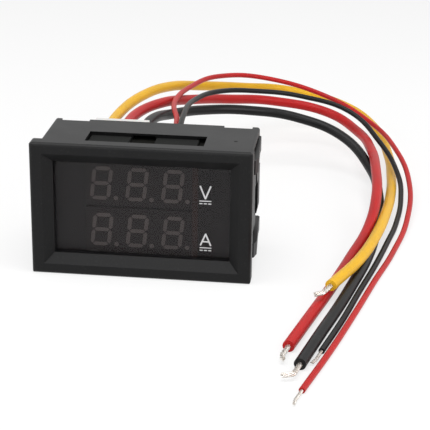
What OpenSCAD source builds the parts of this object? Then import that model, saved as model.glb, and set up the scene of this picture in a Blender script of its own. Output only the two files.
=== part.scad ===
// Digital panel meter for volts and amps: a one-piece snap-in case with a smoked window, two
// three-digit displays, the circuit board behind them, two plug connectors and their five leads.
// The origin is the middle of the bezel's rear face, where the panel lies. +X is to the right
// seen from the front, +Y goes back through the panel and +Z is up. Sizes are in millimetres.

/* [Bezel] */
// Width of the bezel
bezel_w = 48; // [47:0.5:54]
// Height of the bezel
bezel_h = 30; // [29.5:0.5:34]
// Thickness of the bezel, from its front to the panel
bezel_t = 3.2; // [2.8:0.1:4]
// Radius of the bezel's front edges
bezel_edge_r = 0.8; // [0.4:0.1:1.2]
// Radius of the bezel's four corners
bezel_corner_r = 0.7; // [0.4:0.1:1.4]
// Flat rim beside the window surround
rim_side = 2.7; // [2:0.1:3]
// Flat rim above and below the window surround
rim_end = 2.4; // [1.8:0.1:2.6]
// Width of the sloping surround
surround_w = 2.1; // [1.4:0.1:2.4]
// Depth of the sloping surround
surround_d = 1.8; // [1.2:0.1:2.2]
// Straight step between the surround and the window
window_step = 1.2; // [0.8:0.1:1.6]

/* [Box] */
// Bezel lip beyond the box at each side
lip_side = 0.7; // [0.5:0.1:1.2]
// Bezel lip beyond the box at the top and bottom
lip_end = 1.9; // [1.2:0.1:2.2]
// Depth of the box behind the panel
box_d = 20.8; // [19:0.2:24]
// Thickness of the box walls
wall = 1.5; // [1.3:0.1:1.7]
// Radius of the box's long edges
box_corner_r = 0.6; // [0.3:0.1:1]
// Length of the slot in the top and bottom walls
wall_slot_w = 26.1; // [22:0.1:28]
// Offset of those slots from the middle
wall_slot_x = -0.55; // [-1.5:0.05:1.5]
// Distance from the panel to the front of the slots
wall_slot_front = 2.4; // [2:0.1:4]
// Distance from the panel to the rear of the slots
wall_slot_rear = 12.3; // [11:0.1:13.5]
// Width of each pad behind the slots
slot_pad_w = 9.4; // [6:0.1:10]
// Skin left over the pockets beside the pads
pocket_skin = 0.5; // [0.4:0.1:0.7]
// Depth of those pockets behind the slots
pocket_d = 4.5; // [3:0.1:6]
// Depth of the notches in the rear edge
rear_notch_d = 1.2; // [0.6:0.1:2]
// Length of the notches in the rear edge
rear_notch_w = 6.4; // [4:0.1:7]
// Width of the lug between each notch and the corner
rear_lug_w = 1.6; // [1.2:0.1:2.4]

/* [Spring clips] */
// Height of each spring finger
clip_h = 3.2; // [2.4:0.1:3.4]
// Distance from the middle line to the near edge of a finger
clip_z = 8; // [7.6:0.1:8.2]
// Clear slot round a finger
clip_gap = 0.8; // [0.6:0.1:0.9]
// Thickness of a finger
clip_t = 1.2; // [0.9:0.1:1.4]
// How far a finger's ridge stands out from the box
clip_out = 1.2; // [0.8:0.1:1.5]
// How far the finger's root stands out at the rear
clip_root_out = 0.45; // [0.3:0.05:0.7]
// Thickest panel that the fingers' tips clear
clip_front = 3.2; // [2.4:0.1:4]
// Length of the finger's root at the rear
clip_root = 3.4; // [2.6:0.1:4]
// Height of the open notch below a finger's root
clip_notch_h = 3.2; // [2:0.1:3.4]
// Depth of that notch from the rear edge
clip_notch_d = 7; // [5:0.1:9]
// Height of the tall port in the middle of the side
side_port_h = 6.8; // [4:0.1:6.8]
// Width of the tall port
side_port_w = 5; // [3:0.1:6]
// Distance from the rear edge to the tall port
side_port_rear = 4; // [3:0.1:5]
// Offset of the tall port from the middle
side_port_z = -1.2; // [-1.6:0.1:1.2]
// Height of the low pad that frames the port
side_pad_t = 0.2; // [0.1:0.05:0.3]

/* [Window and displays] */
// Thickness of the smoked window
window_t = 1.1; // [0.8:0.1:1.5]
// Clearance round the window and the board in the box
fit_gap = 0.25; // [0.15:0.05:0.35]
// Width of a display module
display_w = 23.4; // [22.5:0.1:24]
// Depth of a display module
display_d = 6.1; // [5.5:0.1:7]
// Offset of the displays from the middle
display_x = -1; // [-1.6:0.1:1.6]
// Offset of the pair of displays from the middle, upwards
display_z = -0.15; // [-0.3:0.05:0.3]
// Gap between the two displays
display_split = 0.5; // [0.1:0.1:0.6]
// Gap between the displays and the top and bottom walls
display_gap = 1.15; // [1.05:0.05:1.4]
// Height of a digit
digit_h = 7.6; // [7:0.1:8.2]
// Width of a digit
digit_w = 4.5; // [4:0.1:5]
// Spacing of the digits
digit_pitch = 7.8; // [7.4:0.1:8]
// Width of a segment
segment_w = 0.85; // [0.6:0.05:1]
// Gap between segments
segment_gap = 0.25; // [0.15:0.05:0.4]
// Depth of a segment's light well
segment_d = 0.6; // [0.4:0.1:1]
// Lean of the digits in degrees
digit_lean = 6.5; // [0:0.5:9]
// Diameter of a decimal point
point_d = 1.0; // [0.8:0.1:1.2]

/* [Circuit board] */
// Thickness of the circuit board
board_t = 1.6; // [1.2:0.1:2]
// How far the board's retaining ridges reach in from the box
ridge_reach = 0.7; // [0.5:0.05:0.9]
// Depth of a retaining ridge along the box
ridge_d = 1.6; // [1.2:0.1:2.2]
// Length of a retaining ridge
ridge_l = 3.2; // [2:0.1:3.6]
// Diameter of a display pin
pin_d = 0.5; // [0.4:0.05:0.6]
// Spacing of the display pins
pin_pitch = 2.54; // [2.4:0.02:2.6]
// Distance from a display's edge to its pins
pin_inset = 0.9; // [0.8:0.1:1.2]
// Clearance round every pin in the board
pin_gap = 0.15; // [0.1:0.05:0.2]
// Wire diameter of the shunt
shunt_d = 1.4; // [1:0.1:1.8]
// Span of the shunt between its legs
shunt_w = 8; // [6:0.1:9]
// Height of the shunt's bridge above the board
shunt_h = 3.2; // [2.6:0.1:3.6]
// Side of a trimmer's square body
trimmer_w = 3.7; // [3.4:0.1:4]
// Height of a trimmer's body
trimmer_h = 1.3; // [1.3:0.1:1.8]
// Diameter of a trimmer's rotor
rotor_d = 2.8; // [2.4:0.1:3]
// Thickness of a trimmer's rotor
rotor_t = 0.6; // [0.5:0.1:0.7]
// Diameter of a trimmer rotor's stem
stem_d = 1.2; // [0.9:0.1:1.4]
// How far a trimmer's rotor stands out of its body
rotor_proud = 0.2; // [0.1:0.05:0.3]
// Running clearance of the rotor
rotor_gap = 0.05; // [0.04:0.01:0.08]

/* [Connectors] */
// Spacing of the power pins
power_pitch = 3.96; // [3.9:0.02:4.1]
// Gap between the left wall and the power plug
power_left = 6.6; // [6.3:0.1:7]
// Width of the power plug
power_plug_w = 12.4; // [12:0.1:12.6]
// Height of the power plug
power_plug_h = 7.8; // [7:0.1:8]
// Length of the power plug
power_plug_l = 15.7; // [15:0.1:18]
// Thickness of the power header's base
power_base_t = 3.2; // [2.6:0.1:4]
// Side of a square power pin
power_pin_w = 1.1; // [1:0.05:1.2]
// Spacing of the supply pins
supply_pitch = 2.5; // [2.4:0.02:2.6]
// Gap between the power plug and the supply header
connector_gap = 2.85; // [2.4:0.05:3.2]
// Width of the supply header
supply_w = 7.4; // [7:0.1:7.6]
// Height of the supply header
supply_h = 5.8; // [5.6:0.1:6.2]
// Depth of the supply header
supply_d = 7; // [6:0.1:7.6]
// Wall of the supply header's shroud
supply_wall = 0.7; // [0.6:0.05:0.8]
// Length of the supply plug
supply_plug_l = 8; // [7.6:0.1:9]
// Side of a square supply pin
supply_pin_w = 0.64; // [0.5:0.02:0.7]
// Clearance between a plug and its header
plug_gap = 0.12; // [0.08:0.02:0.2]

/* [Leads] */
// Diameter of the three measuring leads
lead_d = 2.5; // [2.2:0.1:2.7]
// Diameter of the two supply leads
thin_lead_d = 1.3; // [1.1:0.1:1.4]
// Diameter of a measuring lead's bare end
core_d = 1.1; // [0.8:0.1:1.4]
// Diameter of a supply lead's bare end
thin_core_d = 0.7; // [0.5:0.1:0.8]
// Length of a measuring lead's bare end
core_l = 3.8; // [2:0.1:5]
// Length of the bend at its tip
hook_l = 1.6; // [1:0.1:2]

/* [Hidden] */
$fn = 32;
cut = 0.5; // overshoot of a cut past the face it opens

box_w = bezel_w - 2 * lip_side;
box_h = bezel_h - 2 * lip_end;
inner_w = box_w - 2 * wall;
inner_h = box_h - 2 * wall;
window_w = bezel_w - 2 * (rim_side + surround_w);
window_h = bezel_h - 2 * (rim_end + surround_w);
window_y = surround_d + window_step - bezel_t;
display_y = window_y + window_t;
board_y = display_y + display_d;
board_back = board_y + board_t;
board_w = inner_w - 2 * fit_gap;
board_h = inner_h - 2 * fit_gap;
display_h = (inner_h - display_split) / 2 - display_gap;
display_zs = [for (s = [1, -1]) display_z + s * (display_h + display_split) / 2];
pin_row_zs = [for (z = display_zs, s = [1, -1]) z + s * (display_h / 2 - pin_inset)];

clip_root_y = box_d - clip_root;
clip_top = clip_z + clip_h;
ridge_out_y = clip_front + 2.2; // where a finger stands out furthest
ridge_z = 3.2;

digit_count = 3;
digit_shift = -0.3; // the digits sit left of the middle, for the last decimal point
bar_w = digit_w - segment_w;
bar_h = digit_h - segment_w;
point_x = digit_w / 2 + 0.9;
pin_count = 6;
pin_proud = 1.2; // length of a pin behind the board
pin_short = 0.2; // how far the connector pins stop inside the board
cone_d = 1.5;
cone_h = 0.9;

// The plugs stand on the board's upper half, a little under the top wall
power_x = power_left - inner_w / 2 + power_plug_w / 2;
power_z = inner_h / 2 - power_plug_h / 2 - 0.15;
power_xs = [for (i = [-1:1]) power_x + i * power_pitch];
power_seat = board_back + power_base_t;
power_rear = power_seat + power_plug_l;
power_socket = power_pitch - 0.9;
power_front = 0.8; // front wall of the plug
power_box_l = 7;
power_post_end = power_seat + power_front + power_box_l - 0.6;
power_crimp_y = power_rear - 3;
latch_t = 1;
power_bottom = power_z - power_plug_h / 2 - plug_gap - latch_t;
supply_x = power_x + power_plug_w / 2 + connector_gap + supply_w / 2;
supply_z = inner_h / 2 - supply_h / 2 - 1.2;
supply_xs = [for (s = [-1, 1]) supply_x + s * supply_pitch / 2];
supply_floor = 2.4;
supply_seat = board_back + supply_floor;
supply_rear = supply_seat + supply_plug_l;
supply_socket = supply_pitch - 0.64;
supply_front = 0.6;
supply_box_l = 3.4;
supply_post_end = supply_seat + supply_front + supply_box_l - 0.4;
supply_crimp_y = supply_rear - 2;

// What stands on the board keeps its distance from the board's nearest edges
right = board_w / 2;
top = board_h / 2;
shunt_x = right - 10.65;
shunt_z = top - 9.15;
trimmer_x = right - trimmer_w / 2 - 1;
amp_trimmer_z = 1 + trimmer_w / 2 - top;
volt_trimmer_z = amp_trimmer_z + trimmer_w + 1.6;
rivet_t = 0.3;
rivet_d = stem_d + 0.7;
rotor_seat = board_back + trimmer_h + rotor_proud - rotor_t;

// Bodies on the board: centre along X and Z, width, height along Z and thickness
controller = [7.55 - right, 6.05 - top, 6.5, 4.4, 1.1];
amplifier = [right - 9.95, 5.75 - top, 4.9, 3.9, 1.6];
regulator = [right - 6, top - 3.35, 4.5, 2.5, 1.5];
tantalum = [3.15 - right, top - 4.15, 2.8, 2.7, 1.9];
diode = [3.15 - right, top - 9.75, 2.6, 3.6, 2.2];
// Small parts beside the chips, as steps along X and Z from the chip's centre
chip_side = 0.8;
chip_mid = 0.9;
chip_cap = 0.35;
resistor_t = 0.45;
capacitor_t = 0.8;
resistors = concat(beside(controller, [[-2.2, -4.3], [-0.6, -4.3], [1, -4.3], [4.6, 1.1]]),
    beside(amplifier, [[-1.9, 4.7], [-0.3, 4.7], [1.3, 4.7]]));
capacitors = concat(beside(controller, [[4.6, -1.9]]), beside(amplifier, [[-3.6, 0], [3.7, 0]]),
    beside(regulator, [[3.6, 0.2], [3.6, -3.4]]));
function beside(chip, steps) = [for (step = steps) [chip[0] + step[0], chip[1] + step[1]]];

lead_sides = 8;
// Routes of the leads from their plugs round to the surface that the bezel stands on
yellow_route = [[-13, 43.5, 7.5], [-10, 59.5, 7.5], [-5, 74.5, 6], [2, 88.5, 2.5], [11.5, 101, -1],
    [24, 110, -4], [39, 110, -7.5], [48.5, 99.5, -10.5], [52.5, 84, -13], [53.5, 68.5, -13.5],
    [53.5, 52.5, -12.5], [52.5, 36.5, -11.5], [50.5, 20.5, -11], [47, 5, -11], [41.5, -10, -11]];
red_route = [[-9, 43, 7.5], [-4.5, 58, 6.5], [1.5, 72, 3.5], [9.5, 85.5, 0], [21, 95.5, -3],
    [35, 96, -5.5], [44, 86, -7.5], [48, 71, -7.5], [49.5, 56, -7.5], [50, 40.5, -9],
    [48.5, 25.5, -11.5], [45, 10.5, -13], [41.5, -4.5, -13.75], [38, -19.5, -13.75],
    [34.5, -34.5, -13.75]];
black_route = [[-4.5, 42.5, 7], [-1.5, 55.5, 4.5], [5, 66.5, 2.5], [15.5, 74.5, 0.5],
    [28.5, 78, -2], [40.5, 74.5, -5.5], [48, 65, -10.5], [50.5, 52, -13], [50.5, 38.5, -13.75],
    [50, 25, -13.75], [48.5, 11.5, -13.75], [46, -2, -13.75], [43.25, -15.5, -13.75],
    [40.25, -28.5, -13.75], [37.25, -42, -13.75]];
thin_red_route = [[2, 38, 8], [-1, 55.5, 7.5], [0.5, 73, 6.5], [6.5, 90, 5], [18.5, 102, 1.5],
    [34, 103.5, -3], [47, 92, -6.5], [54.5, 74.5, -8.5], [58, 56, -11], [57.5, 37, -13.5],
    [54.5, 19, -14.35], [50.5, 1, -14.35], [46.75, -16.5, -14.35], [42.75, -34, -14.35],
    [38.25, -51.5, -14.35]];
thin_black_route = [[3.5, 39.5, 9.5], [4, 55, 8.5], [8.5, 68.5, 7], [17, 79, 4.5], [29, 86, 1.5],
    [41.5, 86, -2], [50, 76.5, -7], [55, 63.5, -11], [56, 50, -13], [55, 37, -14.35],
    [53, 24, -14.35], [50.5, 10, -14.35], [47.5, -4.5, -14.35], [44.5, -19.5, -14.35],
    [41, -34.5, -14.35]];

// ---- placing ----

// A flat outline of X and Z, carried back along Y from y
module along_y(y, depth) {
    translate([0, y + depth, 0]) rotate([90, 0, 0]) linear_extrude(depth) children();
}

// A flat outline of Y and Z, carried along X from x
module along_x(x, length) {
    translate([x, 0, 0]) rotate([90, 0, 90]) linear_extrude(length) children();
}

// A flat outline of X and Y, carried up along Z from z
module along_z(z, height) {
    translate([0, 0, z]) linear_extrude(height) children();
}

module rod(x, y, z, d, length) {
    translate([x, y, z]) rotate([-90, 0, 0]) cylinder(h = length, d = d);
}

module block(x, y, z, w, d, h) {
    translate([x - w / 2, y, z - h / 2]) cube([w, d, h]);
}

module rounded(w, h, r) {
    square([w - 2 * r, h], center = true);
    square([w, h - 2 * r], center = true);
    for (sx = [-1, 1], sz = [-1, 1]) translate([sx * (w / 2 - r), sz * (h / 2 - r)]) circle(r);
}

module both_sides() {
    children();
    mirror([1, 0, 0]) children();
}

module both_ends() {
    children();
    mirror([0, 0, 1]) children();
}

// ---- case ----

// The bezel's depth against one of its sides, round at the two front corners
module soft_front(side) {
    r = bezel_edge_r;
    translate([-bezel_t, r - side / 2]) square([bezel_t, side - 2 * r]);
    translate([r - bezel_t, -side / 2]) square([bezel_t - r, side]);
    for (s = [-1, 1]) translate([r - bezel_t, s * (side / 2 - r)]) circle(r);
}

module bezel_blank() {
    intersection() {
        along_y(-bezel_t, bezel_t) rounded(bezel_w, bezel_h, bezel_corner_r);
        along_x(-bezel_w / 2, bezel_w) soft_front(bezel_h);
        along_z(-bezel_h / 2, bezel_h) mirror([1, -1, 0]) soft_front(bezel_w);
    }
}

// The sloping surround, wider towards the front, as depth against half a side
function slope(half) = let (lead = cut * surround_w / surround_d) [
    [-bezel_t - cut, -half - surround_w - lead], [surround_d - bezel_t, -half],
    [surround_d - bezel_t, half], [-bezel_t - cut, half + surround_w + lead]];

module window_cut() {
    intersection() {
        along_x(-bezel_w / 2, bezel_w) polygon(slope(window_h / 2));
        along_z(-bezel_h / 2, bezel_h) mirror([1, -1, 0]) polygon(slope(window_w / 2));
    }
    along_y(-bezel_t, bezel_t + window_y + cut) square([window_w, window_h], center = true);
}

// The long slot in the top wall, with two pockets between the pads behind it
module wall_slot() {
    left = wall_slot_x - wall_slot_w / 2;
    spare = wall_slot_w - 2 * slot_pad_w;
    middle = spare * 5 / 7;
    z = inner_h / 2 - cut;
    translate([left, wall_slot_front, z])
        cube([wall_slot_w, wall_slot_rear - wall_slot_front, wall + 2 * cut]);
    for (pocket = [[slot_pad_w, middle], [2 * slot_pad_w + middle, spare - middle]])
        translate([left + pocket[0], wall_slot_rear - cut, z])
            cube([pocket[1], pocket_d + cut, wall - pocket_skin + cut]);
}

module rear_notch() {
    translate([box_w / 2 - rear_lug_w - rear_notch_w, box_d - rear_notch_d, inner_h / 2 - cut])
        cube([rear_notch_w, rear_notch_d + cut, wall + 2 * cut]);
}

// The slots round one spring finger and the open notch beside its root
module clip_cut() {
    through = wall + 2 * cut;
    front = clip_front - clip_gap;
    translate([inner_w / 2 - cut, front, clip_z - clip_gap])
        cube([through, clip_root_y - front, clip_h + 2 * clip_gap]);
    translate([inner_w / 2 - cut, box_d - clip_notch_d, clip_z - clip_notch_h])
        cube([through, clip_notch_d + cut, clip_notch_h]);
}

// One spring finger: a leaf rooted at the rear that leans out towards the panel
module clip_finger() {
    face = box_w / 2;
    along_z(clip_z, clip_h) polygon([
        [face - wall, box_d], [face + clip_root_out - 0.4, box_d],
        [face + clip_root_out, box_d - 0.6], [face + clip_root_out, clip_root_y + 0.4],
        [face + clip_out, ridge_out_y], [face + clip_out - 0.5, clip_front],
        [face + clip_out - clip_t, clip_front], [face + clip_out - clip_t, ridge_out_y],
        [face - wall, clip_root_y]]);
}

module side_pad() {
    half = clip_z - clip_notch_h;
    translate([box_w / 2 - cut, box_d - clip_notch_d, -half])
        cube([cut + side_pad_t, clip_notch_d, 2 * half]);
}

module side_port() {
    block(box_w / 2, box_d - side_port_rear - side_port_w, side_port_z,
        2 * (wall + cut), side_port_w, side_port_h);
}

// A wedge on the side wall that the board snaps past
module board_ridge() {
    along_z(ridge_z - ridge_l / 2, ridge_l) polygon([
        [inner_w / 2 + cut, board_back], [inner_w / 2 - ridge_reach, board_back],
        [inner_w / 2 - ridge_reach, board_back + 0.4], [inner_w / 2, board_back + ridge_d],
        [inner_w / 2 + cut, board_back + ridge_d]]);
}

module case() {
    color("#2b2b2d") {
        difference() {
            union() {
                bezel_blank();
                along_y(-cut, box_d + cut) rounded(box_w, box_h, box_corner_r);
                both_sides() side_pad();
            }
            window_cut();
            along_y(window_y, box_d - window_y + cut) square([inner_w, inner_h], center = true);
            both_ends() wall_slot();
            both_sides() both_ends() rear_notch();
            both_sides() both_ends() clip_cut();
            both_sides() side_port();
        }
        both_sides() both_ends() clip_finger();
        both_sides() both_ends() board_ridge();
    }
}

// ---- window and displays ----

module window() {
    color("#3a3236") block(0, window_y, 0, board_w, window_t, board_h);
}

// A segment's outline, a bar with pointed ends
function bar(length, upright) = [for (p = [[-length, 0], [segment_w - length, segment_w],
    [length - segment_w, segment_w], [length, 0], [length - segment_w, -segment_w],
    [segment_w - length, -segment_w]]) upright ? [p[1], p[0]] / 2 : p / 2];

function lean(p) = [p[0] + p[1] * tan(digit_lean), p[1]];

module segment(centre, length, upright) {
    polygon([for (p = bar(length, upright)) lean(centre + p)]);
}

module digit() {
    for (level = [-1:1]) segment([0, level * bar_h / 2], bar_w - segment_gap, false);
    for (side = [-1, 1], half = [-1, 1])
        segment([side * bar_w / 2, half * bar_h / 4], bar_h / 2 - segment_gap, true);
    translate([point_x, (point_d - digit_h) / 2]) circle(d = point_d);
}

module digits(z) {
    for (i = [0:digit_count - 1])
        translate([display_x + digit_shift + (i - (digit_count - 1) / 2) * digit_pitch, z]) digit();
}

module display_body(z) {
    difference() {
        block(display_x, display_y, z, display_w, display_d, display_h);
        along_y(display_y - cut, segment_d + cut) digits(z);
    }
}

module upper_display() { color("#4a2f2c") display_body(display_zs[0]); }
module lower_display() { color("#4a2f2c") display_body(display_zs[1]); }
module upper_segments() { color("#9b8f88") along_y(display_y, segment_d) digits(display_zs[0]); }
module lower_segments() { color("#9b8f88") along_y(display_y, segment_d) digits(display_zs[1]); }

display_pin_xs = [for (i = [0:pin_count - 1])
    display_x + (i - (pin_count - 1) / 2) * pin_pitch];

// A connector stands over this pin, so it is trimmed flush with the board
function covered(x, z) = let (reach = cone_d / 2 + 0.1)
    (abs(x - power_x) < power_plug_w / 2 + reach && z > power_bottom - reach)
    || (abs(x - supply_x) < supply_w / 2 + reach && z > supply_z - supply_h / 2 - reach);

module display_pins() {
    color("#c9c9cc") for (x = display_pin_xs, z = pin_row_zs)
        if (covered(x, z)) rod(x, board_y, z, pin_d, board_t);
        else {
            rod(x, board_y, z, pin_d, board_t + pin_proud);
            translate([x, board_back, z]) rotate([-90, 0, 0])
                cylinder(h = cone_h, d1 = cone_d, d2 = pin_d);
        }
}

// ---- circuit board ----

module board_hole(x, z, d) { rod(x, board_y - cut, z, d + 2 * pin_gap, board_t + 2 * cut); }

module circuit_board() {
    color("#2f5a3a") difference() {
        block(0, board_y, 0, board_w, board_t, board_h);
        for (x = display_pin_xs, z = pin_row_zs) board_hole(x, z, pin_d);
        for (x = power_xs) board_hole(x, power_z, power_pin_w * sqrt(2));
        for (x = supply_xs) board_hole(x, supply_z, supply_pin_w * sqrt(2));
        for (s = [-1, 1]) board_hole(shunt_x + s * shunt_w / 2, shunt_z, shunt_d);
    }
}

module chip_body(chip, lift) {
    block(chip[0], board_back + lift, chip[1], chip[2], chip[4] - lift, chip[3]);
}

// One row of bent legs on each side of a chip, their feet on the board
module chip_legs(chip, count, pitch, width) {
    mid = board_back + chip[4] / 2;
    side = chip[3] / 2;
    for (i = [0:count - 1])
        translate([chip[0] + (i - (count - 1) / 2) * pitch, 0, chip[1]])
            both_ends() along_x(-width / 2, width) polygon([
                [mid + 0.1, side], [mid + 0.1, side + 0.3], [board_back + 0.2, side + 0.5],
                [board_back + 0.2, side + 1], [board_back, side + 1], [board_back, side + 0.4],
                [mid - 0.1, side + 0.15], [mid - 0.1, side]]);
}

module controller_chip() { color("#26282a") chip_body(controller, 0.1); }
module controller_legs() { color("#c4c6c8") chip_legs(controller, 10, 0.65, 0.25); }
module amplifier_chip() { color("#26282a") chip_body(amplifier, 0.1); }
module amplifier_legs() { color("#c4c6c8") chip_legs(amplifier, 4, 1.27, 0.4); }
module regulator_chip() { color("#26282a") chip_body(regulator, 0); }

// Three flat legs below the regulator and its wide tab above
module regulator_legs() {
    side = regulator[3] / 2;
    color("#c4c6c8") {
        for (i = [-1:1])
            block(regulator[0] + i * 1.5, board_back, regulator[1] - side - 0.45, 0.5, 0.4, 0.9);
        block(regulator[0], board_back, regulator[1] + side + 0.35, 1.8, 0.4, 0.7);
    }
}

// A bare U of resistance wire whose legs stand in the board
module shunt() {
    bridge = board_back + shunt_h;
    color("#b08d57") {
        for (s = [-1, 1]) {
            rod(shunt_x + s * shunt_w / 2, board_y + pin_short, shunt_z, shunt_d,
                bridge - board_y - pin_short);
            translate([shunt_x + s * shunt_w / 2, bridge, shunt_z]) sphere(d = shunt_d);
        }
        translate([shunt_x - shunt_w / 2, bridge, shunt_z]) rotate([0, 90, 0])
            cylinder(h = shunt_w, d = shunt_d);
    }
}

module trimmer(z) {
    difference() {
        block(trimmer_x, board_back, z, trimmer_w, trimmer_h, trimmer_w);
        rod(trimmer_x, rotor_seat, z, rotor_d + 2 * rotor_gap, rotor_t);
        rod(trimmer_x, board_back, z, stem_d + 2 * rotor_gap, trimmer_h);
        rod(trimmer_x, board_back - cut, z, rivet_d + 2 * rotor_gap, rivet_t + 2 * rotor_gap + cut);
    }
}

// The slotted rotor, held in its body by the riveted end of its stem
module trimmer_rotor(z) {
    difference() {
        rod(trimmer_x, rotor_seat, z, rotor_d, rotor_t);
        for (turn = [0, 90])
            translate([trimmer_x, rotor_seat + rotor_t / 2, z]) rotate([0, turn, 0])
                block(0, 0, 0, 0.7 * rotor_d, rotor_t, 0.4);
    }
    rod(trimmer_x, board_back + rotor_gap, z, stem_d, rotor_seat - board_back);
    rod(trimmer_x, board_back + rotor_gap, z, rivet_d, rivet_t);
}

module volt_trimmer() { color("#3f6db0") trimmer(volt_trimmer_z); }
module amp_trimmer() { color("#3f6db0") trimmer(amp_trimmer_z); }
module volt_trimmer_rotor() { color("#d8d2c2") trimmer_rotor(volt_trimmer_z); }
module amp_trimmer_rotor() { color("#d8d2c2") trimmer_rotor(amp_trimmer_z); }
module tantalum_capacitor() { color("#d9a33a") chip_body(tantalum, 0); }
module protection_diode() { color("#26282a") chip_body(diode, 0); }

module small_body(at, thickness) {
    block(at[0], board_back, at[1], chip_side, thickness, chip_mid);
}

// The two end caps of a body of the given width, thickness and height along Z
module end_caps(at, w, thickness, h) {
    for (s = [-1, 1])
        block(at[0], board_back, at[1] + s * (h + chip_cap) / 2, w, thickness, chip_cap);
}

module chip_resistors() { color("#2d2f33") for (at = resistors) small_body(at, resistor_t); }
module chip_capacitors() { color("#b59b74") for (at = capacitors) small_body(at, capacitor_t); }

module chip_terminals() {
    color("#cfd0d2") {
        for (at = resistors) end_caps(at, chip_side, resistor_t, chip_mid);
        for (at = capacitors) end_caps(at, chip_side, capacitor_t, chip_mid);
        for (body = [tantalum, diode]) end_caps(body, body[2] - 0.8, body[4] * 0.6, body[3]);
    }
}

// ---- connectors ----

module square_pin(x, y, z, side, length) { block(x, y, z, side, length, side); }

module power_header() {
    base_h = power_z + power_plug_h / 2 - power_bottom;
    color("#e6e3da") difference() {
        union() {
            block(power_x, board_back, power_bottom + base_h / 2, power_plug_w, power_base_t, base_h);
            block(power_x, board_back, power_bottom + latch_t / 2, power_plug_w - 1.6,
                power_base_t + power_box_l, latch_t);
        }
        for (x = power_xs) square_pin(x, board_back - cut, power_z, power_pin_w,
            power_base_t + 2 * cut);
    }
}

module power_pins() {
    y = board_y + pin_short;
    color("#c9c9cc") for (x = power_xs)
        square_pin(x, y, power_z, power_pin_w, power_post_end - y);
}

// The plug: three sockets open at the rear, each with a window for its terminal's catch
module power_plug() {
    color("#f1efe8") difference() {
        block(power_x, power_seat, power_z, power_plug_w, power_plug_l, power_plug_h);
        for (x = power_xs) {
            block(x, power_seat + power_front, power_z, power_socket, power_plug_l, power_socket);
            block(x, power_seat - cut, power_z, power_pin_w + 0.6, power_front + 2 * cut,
                power_pin_w + 0.6);
            block(x, power_seat + power_front + power_box_l, power_z - power_plug_h / 4 - cut,
                1.4, 2.4, power_plug_h / 2);
        }
        for (s = [-1, 1]) block(power_x + s * power_pitch / 2, power_seat - cut,
            power_z + power_plug_h / 2, 0.9, power_plug_l - 2, 1.2);
    }
}

// Box, neck and crimped barrel of a terminal in its socket
module terminal(x, z, y, side, box_l, pin_w, crimp_y, barrel_d) {
    neck_y = y + box_l;
    difference() {
        block(x, y, z, side, box_l, side);
        block(x, y - cut, z, pin_w + 0.4, box_l + 2 * cut, pin_w);
    }
    block(x, neck_y - 0.1, z - side / 2 + side / 6, side * 0.6, 1.1, side / 3);
    block(x, neck_y + 0.9, z - side / 4, side * 0.6, 0.6, side / 2);
    rod(x, neck_y + 1, z, barrel_d, crimp_y - neck_y - 1);
}

module power_terminals() {
    color("#c9b27a") for (x = power_xs)
        terminal(x, power_z, power_seat + power_front, power_socket, power_box_l, power_pin_w,
            power_crimp_y, lead_d * 0.8);
}

module supply_header() {
    color("#e6e3da") difference() {
        block(supply_x, board_back, supply_z, supply_w, supply_d, supply_h);
        block(supply_x, supply_seat, supply_z, supply_w - 2 * supply_wall, supply_d,
            supply_h - 2 * supply_wall);
        for (x = supply_xs) {
            square_pin(x, board_back - cut, supply_z, supply_pin_w, supply_floor + 2 * cut);
            block(x, supply_seat + 1, supply_z - supply_h / 2, 1, supply_d, 2 * supply_wall + cut);
        }
    }
}

module supply_pins() {
    y = board_y + pin_short;
    color("#c9c9cc") for (x = supply_xs)
        square_pin(x, y, supply_z, supply_pin_w, supply_post_end - y);
}

module supply_plug() {
    w = supply_w - 2 * (supply_wall + plug_gap);
    h = supply_h - 2 * (supply_wall + plug_gap);
    color("#f1efe8") difference() {
        block(supply_x, supply_seat, supply_z, w, supply_plug_l, h);
        for (x = supply_xs) {
            block(x, supply_seat + supply_front, supply_z, supply_socket, supply_plug_l,
                supply_socket);
            block(x, supply_seat - cut, supply_z, supply_pin_w + 0.4, supply_front + 2 * cut,
                supply_pin_w + 0.4);
        }
    }
}

module supply_terminals() {
    color("#c9b27a") for (x = supply_xs)
        terminal(x, supply_z, supply_seat + supply_front, supply_socket, supply_box_l,
            supply_pin_w, supply_crimp_y, thin_lead_d * 0.8);
}

// ---- leads ----

function unit(v) = v / norm(v);

// The way a route runs at its point i; it leaves its plug straight back
function heading(route, i) = i == 0 ? [0, 1, 0]
    : unit(route[min(i + 1, len(route) - 1)] - route[i - 1]);

function ring(route, i, r) = let (t = heading(route, i), s = unit(cross(t, [0, 0, 1])),
    n = cross(s, t)) [for (k = [0:lead_sides - 1])
        route[i] + r * (cos(360 * k / lead_sides) * s + sin(360 * k / lead_sides) * n)];

// A round lead swept along its route
module lead(start, route, d) {
    path = concat([start], route);
    n = len(path);
    m = lead_sides;
    points = [for (i = [0:n - 1]) each ring(path, i, d / 2)];
    sides = [for (i = [0:n - 2], k = [0:m - 1]) let (a = i * m + k, b = i * m + (k + 1) % m)
        each [[a, a + m, b], [b, a + m, b + m]]];
    polyhedron(points, concat([[for (k = [0:m - 1]) k]], sides,
        [[for (k = [m - 1:-1:0]) (n - 1) * m + k]]), convexity = 6);
}

// The stripped end of a lead, its tip bent aside by the turn in degrees
module core(route, d, turn) {
    last = route[len(route) - 1];
    step = last - route[len(route) - 2];
    translate(last) rotate([0, 0, atan2(step[1], step[0])]) {
        rotate([0, 90, 0]) cylinder(h = core_l, d = d);
        mirror([0, turn < 0 ? 1 : 0, 0]) translate([core_l, d, 0]) {
            rotate([0, 0, -90]) rotate_extrude(angle = abs(turn)) translate([d, 0]) circle(d = d);
            rotate([0, 0, abs(turn)]) translate([0, -d, 0]) rotate([0, 90, 0])
                cylinder(h = hook_l, d = d);
        }
    }
}

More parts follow.
